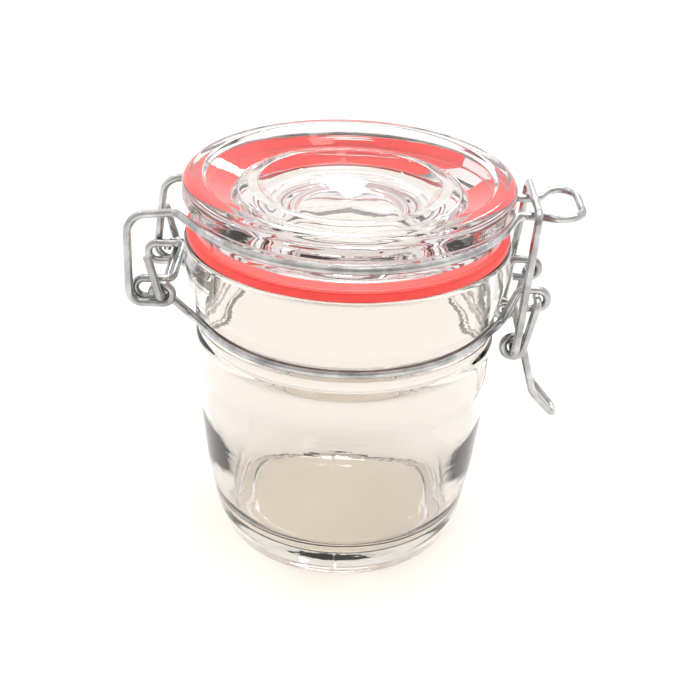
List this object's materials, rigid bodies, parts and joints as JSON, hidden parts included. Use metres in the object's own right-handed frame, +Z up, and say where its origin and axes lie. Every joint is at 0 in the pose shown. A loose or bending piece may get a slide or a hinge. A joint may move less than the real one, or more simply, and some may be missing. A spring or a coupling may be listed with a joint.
{
  "type": "clip-top glass jar",
  "caption": "Small airtight clip-top jar of clear glass, closed: domed glass lid on a red rubber ring, wire hinge, bail and over-centre lever.",
  "frame": {"origin": "centre of the base, on the surface the jar stands on", "axes": "+Z up along the jar's axis, +X from the jar's axis towards the clasp, the hinge at -X"},
  "size_m": [0.0936, 0.067, 0.08],
  "materials": {
    "clear_glass": "clear gloss",
    "lid_glass": "clear gloss",
    "red_rubber": "satin",
    "zinc_wire": "zinc-plated"
  },
  "bodies": {
    "jar_body": {"jar": "clear_glass", "neck_wire": "zinc_wire", "hinge_pin": "zinc_wire"},
    "lid_body": {"lid": "lid_glass", "gasket": "red_rubber", "lid_wire": "zinc_wire"},
    "lever_body": {"lever": "zinc_wire"},
    "bail_body": {"bail": "zinc_wire"}
  },
  "joints": [
    {"name": "lid_swing", "type": "hinge", "parent": "jar_body", "child": "lid_body", "pos_m": [-0.0366, 0, 0.05655], "axis": [0, -1, 0], "range_deg": [0, 105]},
    {"name": "lever_turn", "type": "hinge", "parent": "jar_body", "child": "lever_body", "pos_m": [0.0386, 0, 0.0568], "axis": [0, -1, 0], "range_deg": [0, 150]},
    {"name": "bail_turn", "type": "hinge", "parent": "lever_body", "child": "bail_body", "pos_m": [0.0345, 0, 0.0464], "axis": [0, -1, 0], "range_deg": [-290, 0]}
  ],
  "couplings": [
    {"joint": "lever_turn", "follows": "lid_swing", "ratio": 1.4285},
    {"joint": "bail_turn", "follows": "lid_swing", "ratio": -2.7619}
  ]
}
